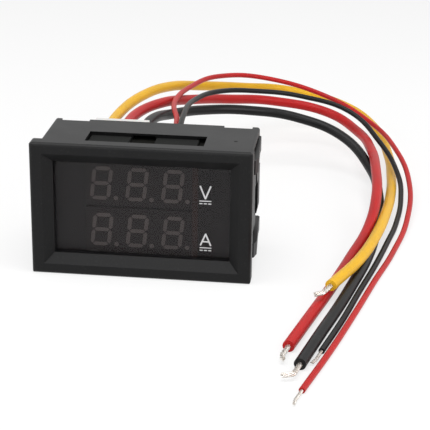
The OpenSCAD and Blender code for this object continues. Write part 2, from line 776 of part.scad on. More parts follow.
module yellow_lead() {
    color("#d8b21c") lead([power_xs[0], power_crimp_y, power_z], yellow_route, lead_d);
}
module red_lead() {
    color("#b3261e") lead([power_xs[1], power_crimp_y, power_z], red_route, lead_d);
}
module black_lead() {
    color("#1d1d1f") lead([power_xs[2], power_crimp_y, power_z], black_route, lead_d);
}
module thin_red_lead() {
    color("#b3261e") lead([supply_xs[0], supply_crimp_y, supply_z], thin_red_route, thin_lead_d);
}
module thin_black_lead() {
    color("#1d1d1f") lead([supply_xs[1], supply_crimp_y, supply_z], thin_black_route, thin_lead_d);
}
module yellow_core() { color("#c8c4bc") core(yellow_route, core_d, -35); }
module red_core() { color("#c8c4bc") core(red_route, core_d, 20); }
module black_core() { color("#c8c4bc") core(black_route, core_d, -60); }
module thin_red_core() { color("#c8c4bc") core(thin_red_route, thin_core_d, 10); }
module thin_black_core() { color("#c8c4bc") core(thin_black_route, thin_core_d, -10); }

case();
window();
upper_display();
upper_segments();
lower_display();
lower_segments();
display_pins();
circuit_board();
controller_chip();
controller_legs();
amplifier_chip();
amplifier_legs();
regulator_chip();
regulator_legs();
shunt();
volt_trimmer();
volt_trimmer_rotor();
amp_trimmer();
amp_trimmer_rotor();
tantalum_capacitor();
protection_diode();
chip_resistors();
chip_capacitors();
chip_terminals();
power_header();
power_pins();
power_plug();
power_terminals();
supply_header();
supply_pins();
supply_plug();
supply_terminals();
yellow_lead();
red_lead();
black_lead();
thin_red_lead();
thin_black_lead();
yellow_core();
red_core();
black_core();
thin_red_core();
thin_black_core();
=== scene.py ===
import math
import bpy
import bmesh
from mathutils import Matrix, Vector


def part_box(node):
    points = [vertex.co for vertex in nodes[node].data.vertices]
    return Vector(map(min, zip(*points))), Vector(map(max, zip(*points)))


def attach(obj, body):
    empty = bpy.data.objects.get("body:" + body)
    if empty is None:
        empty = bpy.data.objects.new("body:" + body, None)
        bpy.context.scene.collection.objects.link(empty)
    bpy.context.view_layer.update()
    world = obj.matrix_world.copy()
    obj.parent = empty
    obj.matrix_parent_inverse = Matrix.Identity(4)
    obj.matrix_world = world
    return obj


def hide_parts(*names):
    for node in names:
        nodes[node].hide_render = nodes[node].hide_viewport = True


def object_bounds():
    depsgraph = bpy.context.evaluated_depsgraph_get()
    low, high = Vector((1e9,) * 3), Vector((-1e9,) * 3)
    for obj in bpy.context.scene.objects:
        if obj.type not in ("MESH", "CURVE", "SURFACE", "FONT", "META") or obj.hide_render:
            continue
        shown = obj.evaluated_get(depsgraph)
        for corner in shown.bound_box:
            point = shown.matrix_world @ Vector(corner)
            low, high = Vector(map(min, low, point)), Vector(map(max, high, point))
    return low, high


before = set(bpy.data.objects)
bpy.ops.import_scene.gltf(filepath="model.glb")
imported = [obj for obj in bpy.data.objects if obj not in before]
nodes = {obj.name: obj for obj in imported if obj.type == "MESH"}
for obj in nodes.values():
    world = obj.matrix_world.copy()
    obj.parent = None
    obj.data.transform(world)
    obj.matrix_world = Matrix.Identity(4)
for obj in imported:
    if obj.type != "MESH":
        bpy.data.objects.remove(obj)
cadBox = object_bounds()
mm = 0.001  # the frame is in metres, the values below in millimetres
print("frame loaded:", len(nodes), "nodes")

# ---- camera, floor and light ----

cameraSet = {
    "place": (50.08, -300.26, 115.56),
    "right": (0.9929, 0.1180, 0.0119),
    "up": (-0.0533, 0.3545, 0.9335),
    "lens": 126.1,
    "sensor": 36.0,
}
lightSet = {
    # name: place, aim, width, height, watts
    "topSoftbox": ((0, -60, 420), (0, 0, 0), 420, 340, 1.5),
    "leftSoftbox": ((-420, -160, 160), (0, 0, 0), 300, 300, 0.7),
    "rightSoftbox": ((420, -120, 190), (0, 0, 0), 300, 300, 1.0),
    "frontFill": ((60, -520, 200), (0, 0, 0), 320, 240, 0.5),
}
floorSet = {"size": 2400, "grey": 0.86, "shown": 1.0, "shadowKept": 0.3}
worldSet = {"fill": 0.4}


def placeCamera(setup):
    camera = bpy.data.objects.new("camera", bpy.data.cameras.new("camera"))
    camera.data.lens = setup["lens"]
    camera.data.sensor_width = setup["sensor"]
    camera.data.clip_start = 0.01
    camera.data.clip_end = 20.0
    right = Vector(setup["right"]).normalized()
    up = Vector(setup["up"])
    back = right.cross(up).normalized()
    up = back.cross(right)
    turn = Matrix((right, up, back)).transposed().to_4x4()
    camera.matrix_world = Matrix.Translation(Vector(setup["place"]) * mm) @ turn
    bpy.context.scene.collection.objects.link(camera)
    bpy.context.scene.camera = camera


def softLight(name, place, aim, width, height, watts):
    lamp = bpy.data.lights.new(name, "AREA")
    lamp.shape = "RECTANGLE"
    lamp.size = width * mm
    lamp.size_y = height * mm
    lamp.energy = watts
    light = bpy.data.objects.new(name, lamp)
    place, aim = Vector(place) * mm, Vector(aim) * mm
    light.matrix_world = Matrix.Translation(place) @ (place - aim).to_track_quat("Z", "Y").to_matrix().to_4x4()
    bpy.context.scene.collection.objects.link(light)


def newMaterial(name):
    material = bpy.data.materials.new(name)
    material.use_nodes = True
    tree = material.node_tree
    tree.nodes.clear()
    out = tree.nodes.new("ShaderNodeOutputMaterial")
    return material, tree, out


def meshPiece(name, bm, smooth=True):
    mesh = bpy.data.meshes.new(name)
    bm.to_mesh(mesh)
    bm.free()
    piece = bpy.data.objects.new(name, mesh)
    bpy.context.scene.collection.objects.link(piece)
    for face in mesh.polygons:
        face.use_smooth = smooth
    return piece


def paleFloor(setup):
    bm = bmesh.new()
    bmesh.ops.create_grid(bm, x_segments=1, y_segments=1, size=setup["size"] / 2 * mm)
    bmesh.ops.translate(bm, verts=bm.verts, vec=(0, 0, cadBox[0][2]))
    floor = meshPiece("floor", bm, smooth=False)
    material, tree, out = newMaterial("paleFloor")
    diffuse = tree.nodes.new("ShaderNodeBsdfDiffuse")
    diffuse.inputs["Color"].default_value = (setup["grey"], setup["grey"], setup["grey"], 1)
    glow = tree.nodes.new("ShaderNodeEmission")
    glow.inputs["Color"].default_value = (1, 1, 1, 1)
    glow.inputs["Strength"].default_value = setup["shown"]
    seen = whiteRays(tree)
    keep = tree.nodes.new("ShaderNodeMath")
    keep.operation = "MULTIPLY"
    keep.inputs[1].default_value = 1 - setup["shadowKept"]
    tree.links.new(seen, keep.inputs[0])
    mix = tree.nodes.new("ShaderNodeMixShader")
    tree.links.new(keep.outputs[0], mix.inputs["Fac"])
    tree.links.new(diffuse.outputs[0], mix.inputs[1])
    tree.links.new(glow.outputs[0], mix.inputs[2])
    tree.links.new(mix.outputs[0], out.inputs["Surface"])
    floor.data.materials.append(material)


def whiteRays(tree):
    # 1 for what the camera sees straight, mirrored or through glass
    path = tree.nodes.new("ShaderNodeLightPath")
    last = path.outputs["Is Camera Ray"]
    for ray in ("Is Glossy Ray", "Is Transmission Ray"):
        either = tree.nodes.new("ShaderNodeMath")
        either.operation = "MAXIMUM"
        tree.links.new(last, either.inputs[0])
        tree.links.new(path.outputs[ray], either.inputs[1])
        last = either.outputs[0]
    return last


def studioWorld(setup):
    world = bpy.data.worlds.new("studio")
    bpy.context.scene.world = world
    world.use_nodes = True
    tree = world.node_tree
    tree.nodes.clear()
    out = tree.nodes.new("ShaderNodeOutputWorld")
    fill = tree.nodes.new("ShaderNodeBackground")
    fill.inputs["Color"].default_value = (1, 1, 1, 1)
    fill.inputs["Strength"].default_value = setup["fill"]
    white = tree.nodes.new("ShaderNodeBackground")
    white.inputs["Color"].default_value = (1, 1, 1, 1)
    white.inputs["Strength"].default_value = 1.0
    mix = tree.nodes.new("ShaderNodeMixShader")
    tree.links.new(whiteRays(tree), mix.inputs["Fac"])
    tree.links.new(fill.outputs[0], mix.inputs[1])
    tree.links.new(white.outputs[0], mix.inputs[2])
    tree.links.new(mix.outputs[0], out.inputs["Surface"])


placeCamera(cameraSet)
for lightName, values in lightSet.items():
    softLight(lightName, *values)
paleFloor(floorSet)
studioWorld(worldSet)
bpy.context.scene.view_settings.view_transform = "Standard"
print("camera, floor and lights set")

# ---- leads ----

# Each route starts in its plug and runs round the right of the box to the floor in front
leadSet = {
    "yellowLead": {
        "node": "yellow_lead", "core": "yellow_core", "diameter": 2.5, "length": 241,
        "plug": ["power_plug", "power_terminals"], "exit": (-12.96, 27.5, 7.55),
        "route": [
            (-12.96, 24.5, 7.55), (-13, 43.5, 7.5), (-10, 59.5, 7.5), (-5, 74.5, 6),
            (2, 88.5, 2.5), (11.5, 101, -1), (24, 110, -4), (39, 110, -7.5),
            (48.5, 99.5, -10.5), (52.5, 84, -13), (53.5, 68.5, -13.5), (53.5, 52.5, -12.5),
            (52.5, 36.5, -11.5), (50.5, 20.5, -11), (47, 5, -11), (41.5, -10, -11)],
    },
    "redLead": {
        "node": "red_lead", "core": "red_core", "diameter": 2.5, "length": 233,
        "plug": [], "exit": (-9, 27.5, 7.55),
        "route": [
            (-9, 24.5, 7.55), (-9, 43, 7.5), (-4.5, 58, 6.5), (1.5, 72, 3.5), (9.5, 85.5, 0),
            (21, 95.5, -3), (35, 96, -5.5), (44, 86, -7.5), (48, 71, -7.5), (49.5, 56, -7.5),
            (50, 40.5, -9), (48.5, 25.5, -11.5), (45, 10.5, -13), (41.5, -4.5, -13.75),
            (38, -19.5, -13.75), (34.5, -34.5, -13.75)],
    },
    "blackLead": {
        "node": "black_lead", "core": "black_core", "diameter": 2.5, "length": 207,
        "plug": [], "exit": (-5.04, 27.5, 7.55),
        "route": [
            (-5.04, 24.5, 7.55), (-4.5, 42.5, 7), (-1.5, 55.5, 4.5), (5, 66.5, 2.5),
            (15.5, 74.5, 0.5), (28.5, 78, -2), (40.5, 74.5, -5.5), (48, 65, -10.5),
            (50.5, 52, -13), (50.5, 38.5, -13.75), (50, 25, -13.75), (48.5, 11.5, -13.75),
            (46, -2, -13.75), (43.25, -15.5, -13.75), (40.25, -28.5, -13.75),
            (37.25, -42, -13.75)],
    },
    "thinRedLead": {
        "node": "thin_red_lead", "core": "thin_red_core", "diameter": 1.3, "length": 274,
        "plug": ["supply_plug", "supply_terminals"], "exit": (2.5, 19, 7.5),
        "route": [
            (2.5, 17, 7.5), (2, 38, 8), (-1, 55.5, 7.5), (0.5, 73, 6.5), (6.5, 90, 5),
            (18.5, 102, 1.5), (34, 103.5, -3), (47, 92, -6.5), (54.5, 74.5, -8.5),
            (58, 56, -11), (57.5, 37, -13.5), (54.5, 19, -14.35), (50.5, 1, -14.35),
            (46.75, -16.5, -14.35), (42.75, -34, -14.35), (38.25, -51.5, -14.35)],
    },
    "thinBlackLead": {
        "node": "thin_black_lead", "core": "thin_black_core", "diameter": 1.3, "length": 222,
        "plug": [], "exit": (5, 19, 7.5),
        "route": [
            (5, 17, 7.5), (3.5, 39.5, 9.5), (4, 55, 8.5), (8.5, 68.5, 7), (17, 79, 4.5),
            (29, 86, 1.5), (41.5, 86, -2), (50, 76.5, -7), (55, 63.5, -11), (56, 50, -13),
            (55, 37, -14.35), (53, 24, -14.35), (50.5, 10, -14.35), (47.5, -4.5, -14.35),
            (44.5, -19.5, -14.35), (41, -34.5, -14.35)],
    },
}


def curveMesh(line):
    # the line as a mesh, as it is evaluated now
    bpy.context.view_layer.update()
    return bpy.data.meshes.new_from_object(line.evaluated_get(bpy.context.evaluated_depsgraph_get()))


def leadTube(name, setup):
    curve = bpy.data.curves.new(name + "Line", "CURVE")
    curve.dimensions = "3D"
    curve.resolution_u = 16
    curve.use_fill_caps = True
    spline = curve.splines.new("BEZIER")
    spline.bezier_points.add(len(setup["route"]) - 1)
    for point, at in zip(spline.bezier_points, setup["route"]):
        point.co = Vector(at) * mm
        point.handle_left_type = point.handle_right_type = "AUTO"
    line = bpy.data.objects.new(name + "Line", curve)
    bpy.context.scene.collection.objects.link(line)
    path = [vertex.co.copy() for vertex in curveMesh(line).vertices]
    curve.bevel_depth = setup["diameter"] / 2 * mm
    curve.bevel_resolution = 5
    lead = bpy.data.objects.new(name, curveMesh(line))
    bpy.data.objects.remove(line)
    bpy.context.scene.collection.objects.link(lead)
    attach(lead, "meter")
    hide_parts(setup["node"])
    return lead, path


# ---- stripped ends ----

strandSet = {
    # lead: name, wire diameter, straight length, turn in degrees, hook length, turns of twist
    "yellowLead": ("yellowStrands", 1.1, 3.8, -35, 1.6, 0.9),
    "redLead": ("redStrands", 1.1, 3.8, 20, 1.6, 0.9),
    "blackLead": ("blackStrands", 1.1, 3.8, -60, 1.6, 0.8),
    "thinRedLead": ("thinRedStrands", 0.7, 3.8, 10, 1.6, 1.5),
    "thinBlackLead": ("thinBlackStrands", 0.7, 3.8, -10, 1.6, 1.2),
}
strandEnds = (0.0, 0.12, -0.1, 0.05, -0.2, 0.15, -0.06)  # each wire is cut a little longer or shorter
strandSteps = 26


def strandPath(route, diameter, straight, turn, hook):
    # the middle line of the bared copper, with the way it runs at each point
    last = Vector(route[-1])
    step = last - Vector(route[-2])
    heading = math.atan2(step.y, step.x)
    radius = diameter
    arc = math.radians(abs(turn)) * radius
    side = 1 if turn > 0 else -1
    total = straight + arc + hook
    points = []
    for i in range(strandSteps + 1):
        run = total * i / strandSteps
        if run <= straight:
            at, bent = Vector((run, 0, 0)), 0.0
        elif run <= straight + arc:
            bent = (run - straight) / radius
            at = Vector((straight + radius * math.sin(bent), side * radius * (1 - math.cos(bent)), 0))
        else:
            bent = math.radians(abs(turn))
            over = run - straight - arc
            at = Vector((straight + radius * math.sin(bent) + over * math.cos(bent),
                         side * (radius * (1 - math.cos(bent)) + over * math.sin(bent)), 0))
        spin = Matrix.Rotation(heading, 3, "Z")
        along = spin @ Vector((math.cos(bent), side * math.sin(bent), 0))
        points.append((last + spin @ at, along, run / total))
    return points


def twistedStrands(name, path, diameter, twist):
    wire = diameter / 3.05
    curve = bpy.data.curves.new(name, "CURVE")
    curve.dimensions = "3D"
    curve.bevel_depth = wire / 2 * mm
    curve.bevel_resolution = 2
    curve.use_fill_caps = True
    for strand in range(7):
        spline = curve.splines.new("POLY")
        spline.points.add(len(path) - 1)
        for point, (at, along, share) in zip(spline.points, path):
            out = Vector((0, 0, 0))
            if strand:
                angle = math.tau * (strand / 6 + twist * share)
                across = along.cross(Vector((0, 0, 1))).normalized()
                out = (across * math.cos(angle) + Vector((0, 0, 1)) * math.sin(angle)) * wire
            cut = along * strandEnds[strand] * max(0.0, share - 0.8) * 5
            point.co = (*((at + out + cut) * mm), 1)
        spline.use_smooth = True
    line = bpy.data.objects.new(name + "Line", curve)
    bpy.context.scene.collection.objects.link(line)
    strands = bpy.data.objects.new(name, curveMesh(line))
    bpy.data.objects.remove(line)
    bpy.context.scene.collection.objects.link(strands)
    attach(strands, "meter")
    return strands


leads, leadPaths = {}, {}
for name, setup in leadSet.items():
    leads[name], leadPaths[name] = leadTube(name, setup)
strands = {}
for name, (piece, diameter, straight, turn, hook, twist) in strandSet.items():
    path = strandPath(leadSet[name]["route"], diameter, straight, turn, hook)
    strands[name] = twistedStrands(piece, path, diameter, twist)
    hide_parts(leadSet[name]["core"])
print("leads laid:", len(leads))

# ---- shared effects ----


def effectGroup(name, inputs, outputs):
    group = bpy.data.node_groups.new(name, "ShaderNodeTree")
    for label, kind, value in inputs:
        socket = group.interface.new_socket(label, in_out="INPUT", socket_type="NodeSocket" + kind)
        if value is not None:
            socket.default_value = value
    for label, kind in outputs:
        group.interface.new_socket(label, in_out="OUTPUT", socket_type="NodeSocket" + kind)
    return group, group.nodes.new("NodeGroupInput"), group.nodes.new("NodeGroupOutput")


def noiseNode(tree, vector, scale, detail=2.0, rough=0.5):
    noise = tree.nodes.new("ShaderNodeTexNoise")
    noise.inputs["Detail"].default_value = detail
    noise.inputs["Roughness"].default_value = rough
    tree.links.new(vector, noise.inputs["Vector"])
    setOrLink(tree, scale, noise.inputs["Scale"])
    return noise.outputs["Fac"]


def setOrLink(tree, value, socket):
    if isinstance(value, bpy.types.NodeSocket):
        tree.links.new(value, socket)
    else:
        socket.default_value = value


def mathNode(tree, operation, first, second=0.0, third=0.0, clamp=False):
    node = tree.nodes.new("ShaderNodeMath")
    node.operation = operation
    node.use_clamp = clamp
    for value, socket in zip((first, second, third), node.inputs):
        setOrLink(tree, value, socket)
    return node.outputs[0]


def rangeNode(tree, value, low, high, toLow, toHigh):
    node = tree.nodes.new("ShaderNodeMapRange")
    for item, label in ((value, "Value"), (low, "From Min"), (high, "From Max"), (toLow, "To Min"), (toHigh, "To Max")):
        setOrLink(tree, item, node.inputs[label])
    return node.outputs["Result"]


def mixColour(tree, share, first, second, blend="MIX"):
    node = tree.nodes.new("ShaderNodeMix")
    node.data_type = "RGBA"
    node.blend_type = blend
    setOrLink(tree, share, node.inputs[0])
    setOrLink(tree, first, node.inputs[6])
    setOrLink(tree, second, node.inputs[7])
    return node.outputs[2]


def mouldedSkinGroup():
    # plastic with a fine sparked grain, slow cloudy changes of tone and specks of dust
    group, taken, given = effectGroup(
        "mouldedSkin",
        [("Vector", "Vector", None), ("Colour", "Color", (0.1, 0.1, 0.1, 1)), ("Grain", "Float", 5000.0),
         ("Cloud", "Float", 160.0), ("Shade", "Float", 0.15), ("Rough", "Float", 0.45), ("Vary", "Float", 0.08),
         ("Dust", "Float", 0.02)],
        [("Colour", "Color"), ("Rough", "Float"), ("Height", "Float")])
    fine = noiseNode(group, taken.outputs["Vector"], taken.outputs["Grain"], 3.0, 0.6)
    cloud = noiseNode(group, taken.outputs["Vector"], taken.outputs["Cloud"], 3.0, 0.55)
    speck = noiseNode(group, taken.outputs["Vector"], mathNode(group, "MULTIPLY", taken.outputs["Grain"], 0.37), 1.0)
    darker = mathNode(group, "SUBTRACT", 1.0, taken.outputs["Shade"])
    brighter = mathNode(group, "ADD", 1.0, taken.outputs["Shade"])
    tone = rangeNode(group, cloud, 0.3, 0.7, darker, brighter)
    shaded = mixColour(group, 1.0, taken.outputs["Colour"], tone, "MULTIPLY")
    dusty = mathNode(group, "MULTIPLY", rangeNode(group, speck, 0.62, 0.74, 0.0, 1.0), taken.outputs["Dust"])
    coloured = mixColour(group, dusty, shaded, (0.55, 0.53, 0.5, 1))
    swing = mathNode(group, "MULTIPLY", mathNode(group, "SUBTRACT", cloud, 0.5), taken.outputs["Vary"])
    rough = mathNode(group, "ADD", mathNode(group, "MULTIPLY", swing, 2.0), taken.outputs["Rough"], clamp=True)
    group.links.new(coloured, given.inputs["Colour"])
    group.links.new(rough, given.inputs["Rough"])
    group.links.new(fine, given.inputs["Height"])
    return group


def metalSkinGroup():
    # dull plating with brighter rubbed patches
    group, taken, given = effectGroup(
        "metalSkin",
        [("Vector", "Vector", None), ("Bright", "Color", (0.8, 0.8, 0.8, 1)), ("Dull", "Color", (0.5, 0.5, 0.5, 1)),
         ("Patch", "Float", 900.0), ("Rough", "Float", 0.3)],
        [("Colour", "Color"), ("Rough", "Float"), ("Height", "Float")])
    patch = noiseNode(group, taken.outputs["Vector"], taken.outputs["Patch"], 3.0, 0.6)
    fine = noiseNode(group, taken.outputs["Vector"], mathNode(group, "MULTIPLY", taken.outputs["Patch"], 6.0), 2.0)
    share = rangeNode(group, patch, 0.38, 0.62, 0.0, 1.0)
    colour = mixColour(group, share, taken.outputs["Bright"], taken.outputs["Dull"])
    rough = mathNode(group, "ADD", mathNode(group, "MULTIPLY", share, 0.18), taken.outputs["Rough"], clamp=True)
    group.links.new(colour, given.inputs["Colour"])
    group.links.new(rough, given.inputs["Rough"])
    group.links.new(fine, given.inputs["Height"])
    return group


def stripeGroup():
    # 1 inside a band of the value, 0 outside it, with soft sides
    group, taken, given = effectGroup(
        "stripe",
        [("Value", "Float", 0.0), ("Centre", "Float", 0.0), ("Half", "Float", 0.001), ("Soft", "Float", 0.00005)],
        [("Mask", "Float")])
    off = mathNode(group, "ABSOLUTE", mathNode(group, "SUBTRACT", taken.outputs["Value"], taken.outputs["Centre"]))
    inner = mathNode(group, "SUBTRACT", taken.outputs["Half"], taken.outputs["Soft"])
    outer = mathNode(group, "ADD", taken.outputs["Half"], taken.outputs["Soft"])
    group.links.new(rangeNode(group, off, inner, outer, 1.0, 0.0), given.inputs["Mask"])
    return group


def spotGroup():
    # 1 within a distance of a point, 0 outside it
    group, taken, given = effectGroup(
        "spot",
        [("Vector", "Vector", None), ("Centre", "Vector", (0, 0, 0)), ("Radius", "Float", 0.0005),
         ("Soft", "Float", 0.00004)],
        [("Mask", "Float")])
    away = group.nodes.new("ShaderNodeVectorMath")
    away.operation = "DISTANCE"
    group.links.new(taken.outputs["Vector"], away.inputs[0])
    group.links.new(taken.outputs["Centre"], away.inputs[1])
    inner = mathNode(group, "SUBTRACT", taken.outputs["Radius"], taken.outputs["Soft"])
    outer = mathNode(group, "ADD", taken.outputs["Radius"], taken.outputs["Soft"])
    group.links.new(rangeNode(group, away.outputs["Value"], inner, outer, 1.0, 0.0), given.inputs["Mask"])
    return group


effects = {"mouldedSkin": mouldedSkinGroup(), "metalSkin": metalSkinGroup(),
           "stripe": stripeGroup(), "spot": spotGroup()}


def effect(tree, name, **values):
    node = tree.nodes.new("ShaderNodeGroup")
    node.node_tree = effects[name]
    for label, value in values.items():
        setOrLink(tree, value, node.inputs[label])
    return node


def objectPoint(tree):
    return tree.nodes.new("ShaderNodeTexCoord").outputs["Object"]


def pointParts(tree, point):
    parts = tree.nodes.new("ShaderNodeSeparateXYZ")
    tree.links.new(point, parts.inputs[0])
    return parts.outputs["X"], parts.outputs["Y"], parts.outputs["Z"]


def principled(tree, out, colour, rough, height=None, bump=0.2, bumpDepth=0.00002, **plain):
    shader = tree.nodes.new("ShaderNodeBsdfPrincipled")
    setOrLink(tree, colour, shader.inputs["Base Color"])
    setOrLink(tree, rough, shader.inputs["Roughness"])
    for label, value in plain.items():
        shader.inputs[label.replace("_", " ")].default_value = value
    if height is not None:
        relief = tree.nodes.new("ShaderNodeBump")
        relief.inputs["Strength"].default_value = bump
        relief.inputs["Distance"].default_value = bumpDepth
        tree.links.new(height, relief.inputs["Height"])
        tree.links.new(relief.outputs["Normal"], shader.inputs["Normal"])
    tree.links.new(shader.outputs[0], out.inputs["Surface"])
    return shader


def plasticFinish(name, colour, rough, grain, cloud, shade, vary, dust, bump, **plain):
    material, tree, out = newMaterial(name)
    skin = effect(tree, "mouldedSkin", Vector=objectPoint(tree), Colour=(*colour, 1), Grain=grain, Cloud=cloud,
                  Shade=shade, Rough=rough, Vary=vary, Dust=dust)
    principled(tree, out, skin.outputs["Colour"], skin.outputs["Rough"], skin.outputs["Height"], bump, **plain)
    return material


def metalFinish(name, bright, dull, patch, rough, bump):
    material, tree, out = newMaterial(name)
    skin = effect(tree, "metalSkin", Vector=objectPoint(tree), Bright=(*bright, 1), Dull=(*dull, 1), Patch=patch,
                  Rough=rough)
    principled(tree, out, skin.outputs["Colour"], skin.outputs["Rough"], skin.outputs["Height"], bump, Metallic=1.0)
    return material


def markedFinish(name, base, mark, markRough, masks, **plain):
    # a moulded plastic with marks of another colour on it, printed bands and dots among them, and on the case the
    # painted shade of its dimple; masks(tree, point) gives their mask
    colour, rough, grain, cloud, shade, vary, dust, bump = base
    material, tree, out = newMaterial(name)
    point = objectPoint(tree)
    skin = effect(tree, "mouldedSkin", Vector=point, Colour=(*colour, 1), Grain=grain, Cloud=cloud, Shade=shade,
                  Rough=rough, Vary=vary, Dust=dust)
    mask = masks(tree, point)
    coloured = mixColour(tree, mask, skin.outputs["Colour"], (*mark, 1))
    roughness = mathNode(tree, "ADD", skin.outputs["Rough"],
                         mathNode(tree, "MULTIPLY", mask, markRough - rough), clamp=True)
    principled(tree, out, coloured, roughness, skin.outputs["Height"], bump, **plain)
    return material


print("effects built:", len(effects))

# ---- finishes ----

# colour, roughness, grain and cloud per metre, shading, roughness swing, dust, bump
plasticSet = {
    "display_resin": ((0.20, 0.165, 0.155), 0.4, 3000, 300, 0.08, 0.05, 0.0, 0.02, {}),
    "trimmer_blue": ((0.03, 0.1, 0.36), 0.38, 6000, 400, 0.1, 0.06, 0.01, 0.1, {}),
    "rotor_cream": ((0.62, 0.58, 0.47), 0.45, 6000, 500, 0.08, 0.05, 0.01, 0.1, {}),
    "ceramic_tan": ((0.42, 0.31, 0.2), 0.55, 9000, 900, 0.1, 0.05, 0.01, 0.2, {}),
    "white_nylon": ((0.60, 0.59, 0.57), 0.4, 5000, 200, 0.05, 0.06, 0.0, 0.1,
                    {"Subsurface_Weight": 0.12, "Subsurface_Scale": 0.0008}),
    "yellow_insulation": ((0.66, 0.37, 0.012), 0.4, 2600, 110, 0.07, 0.08, 0.006, 0.22,
                          {"Specular_IOR_Level": 0.25}),
    "red_insulation": ((0.40, 0.008, 0.008), 0.4, 2600, 110, 0.09, 0.08, 0.005, 0.22,
                       {"Specular_IOR_Level": 0.22}),
    "black_insulation": ((0.004, 0.004, 0.0043), 0.38, 2600, 110, 0.12, 0.08, 0.008, 0.22,
                         {"Specular_IOR_Level": 0.2}),
}
metalSet = {
    "tinned_metal": ((0.82, 0.82, 0.83), (0.58, 0.58, 0.6), 1500, 0.26, 0.12),
    "tinned_brass": ((0.8, 0.76, 0.62), (0.6, 0.52, 0.34), 1200, 0.28, 0.1),
    "tinned_copper": ((0.8, 0.78, 0.75), (0.52, 0.46, 0.4), 1800, 0.3, 0.14),
    "resistance_wire": ((0.66, 0.52, 0.36), (0.36, 0.26, 0.17), 1300, 0.34, 0.14),
}
shellBase = ((0.0045, 0.0045, 0.0048), 0.4, 7000, 120, 0.15, 0.06, 0.012, 0.16)
chipBase = ((0.016, 0.016, 0.018), 0.5, 9000, 500, 0.12, 0.06, 0.02, 0.2)
markSet = {
    "controllerDot": (-16.6, 9.7, -6.85, 0.32), "amplifierDot": (9.75, 10.2, -6.95, 0.28),
    "dimple": (19.0, 10.0, 13.1, 0.42), "bandLeft": 10.75, "bandRight": 11.96,
    "barCentre": 5.6, "barHalf": 0.45, "bandCentre": 3.2, "bandHalf": 0.4,
}


def chipDots(tree, point):
    # pin one of the two larger chips
    last = None
    for spot in ("controllerDot", "amplifierDot"):
        x, y, z, radius = markSet[spot]
        mask = effect(tree, "spot", Vector=point, Centre=(x * mm, y * mm, z * mm), Radius=radius * mm,
                      Soft=0.04 * mm).outputs["Mask"]
        last = mask if last is None else mathNode(tree, "MAXIMUM", last, mask)
    return last


def dimpleMarkAndShade(tree, point):
    # the moulding mark on the roof of the case: rougher, as the real mark is, and darker as painted shade of its hollow
    x, y, z, radius = markSet["dimple"]
    return effect(tree, "spot", Vector=point, Centre=(x * mm, y * mm, z * mm), Radius=radius * mm,
                  Soft=0.1 * mm).outputs["Mask"]


def redBand(tree, point):
    # the side of the displays, seen beside them through the window
    left, right = markSet["bandLeft"], markSet["bandRight"]
    return effect(tree, "stripe", Value=pointParts(tree, point)[0], Centre=(left + right) / 2 * mm,
                  Half=(right - left) / 2 * mm, Soft=0.15 * mm).outputs["Mask"]


def polarityBar(tree, point):
    high = pointParts(tree, point)[2]
    return effect(tree, "stripe", Value=high, Centre=markSet["barCentre"] * mm, Half=markSet["barHalf"] * mm,
                  Soft=0.05 * mm).outputs["Mask"]


def sideWalls(tree, point):
    # the display housings are redder on their cut sides
    facing = tree.nodes.new("ShaderNodeTexCoord").outputs["Normal"]
    return rangeNode(tree, mathNode(tree, "ABSOLUTE", pointParts(tree, facing)[0]), 0.6, 0.8, 0.0, 1.0)


def laminateFinish():
    # green solder mask, with bare tan glass cloth on the cut edges
    material, tree, out = newMaterial("boardLaminate")
    point = objectPoint(tree)
    skin = effect(tree, "mouldedSkin", Vector=point, Colour=(0.008, 0.075, 0.03, 1), Grain=5200.0, Cloud=260.0,
                  Shade=0.12, Rough=0.3, Vary=0.06, Dust=0.01)
    facing = tree.nodes.new("ShaderNodeTexCoord").outputs["Normal"]
    edge = rangeNode(tree, mathNode(tree, "ABSOLUTE", pointParts(tree, facing)[1]), 0.5, 0.7, 1.0, 0.0)
    cloth = mixColour(tree, rangeNode(tree, noiseNode(tree, point, 2600.0, 1.0), 0.4, 0.6, 0.0, 1.0),
                      (0.34, 0.27, 0.13, 1), (0.22, 0.18, 0.08, 1))
    coloured = mixColour(tree, edge, skin.outputs["Colour"], cloth)
    rough = mathNode(tree, "ADD", skin.outputs["Rough"], mathNode(tree, "MULTIPLY", edge, 0.4), clamp=True)
    principled(tree, out, coloured, rough, skin.outputs["Height"], 0.04)
    return material


def windowFinish():
    # smoked acrylic: dark and glossy, with the displays faint behind it
    material, tree, out = newMaterial("smokedWindow")
    point = objectPoint(tree)
    cloud = noiseNode(tree, point, 90.0, 2.0)
    tint = mixColour(tree, rangeNode(tree, cloud, 0.3, 0.7, 0.0, 1.0), (0.010, 0.008, 0.009, 1),
                     (0.014, 0.011, 0.012, 1))
    smear = rangeNode(tree, noiseNode(tree, point, 220.0, 3.0, 0.6), 0.35, 0.7, 0.07, 0.16)
    shader = principled(tree, out, tint, smear)
    shader.inputs["Alpha"].default_value = windowSet["alpha"]
    shader.inputs["Specular IOR Level"].default_value = 0.42
    material.surface_render_method = "BLENDED"
    return material


